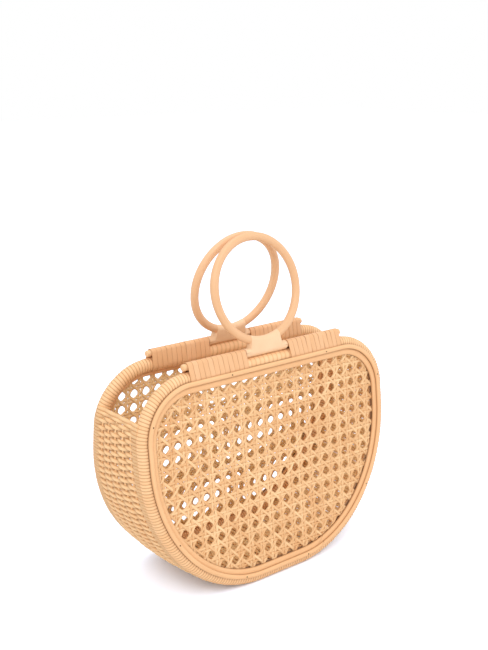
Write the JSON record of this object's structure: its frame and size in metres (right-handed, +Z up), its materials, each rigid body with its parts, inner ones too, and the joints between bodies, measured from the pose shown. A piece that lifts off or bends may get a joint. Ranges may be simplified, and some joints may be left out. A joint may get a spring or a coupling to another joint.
{
  "type": "rattan basket bag",
  "caption": "Small rattan handbag with two cane webbing panels in bound pole frames, a woven gusset and a swinging ring handle on each panel.",
  "frame": {"origin": "middle of the base, on the surface the bag stands on", "axes": "+X along the bag's width, +Y from the front panel to the back panel, +Z up"},
  "size_m": [0.274, 0.1108, 0.2997],
  "materials": {
    "bound_pole": "reed binding, satin",
    "cane_webbing": "natural cane, satin",
    "smooth_reed": "smooth half-round reed, satin",
    "rattan_rod": "peeled rattan, satin",
    "cane_strip": "flat cane strip, satin",
    "bent_ring": "smooth bent rattan, satin",
    "tab_leather": "smooth pale leather",
    "wicker_weave": "round reed weave, satin"
  },
  "bodies": {
    "bag": {"front_bound_frame": "bound_pole", "front_cane_panel": "cane_webbing", "front_outer_reed": "smooth_reed", "front_inner_reed": "smooth_reed", "front_inside_reed": "smooth_reed", "front_top_bar": "rattan_rod", "front_bar_binding_left": "cane_strip", "front_bar_binding_right": "cane_strip", "back_bound_frame": "bound_pole", "back_cane_panel": "cane_webbing", "back_outer_reed": "smooth_reed", "back_inner_reed": "smooth_reed", "back_inside_reed": "smooth_reed", "back_top_bar": "rattan_rod", "back_bar_binding_left": "cane_strip", "back_bar_binding_right": "cane_strip", "gusset_weave": "wicker_weave"},
    "front_handle": {"front_ring_handle": "bent_ring", "front_ring_tab": "tab_leather"},
    "back_handle": {"back_ring_handle": "bent_ring", "back_ring_tab": "tab_leather"}
  },
  "joints": [
    {"name": "front_handle_swing", "type": "hinge", "parent": "bag", "child": "front_handle", "pos_m": [0, -0.02573, 0.20141], "axis": [1, 0, 0], "range_deg": [0, 110]},
    {"name": "back_handle_swing", "type": "hinge", "parent": "bag", "child": "back_handle", "pos_m": [0, 0.02573, 0.20141], "axis": [-1, 0, 0], "range_deg": [0, 110]}
  ]
}
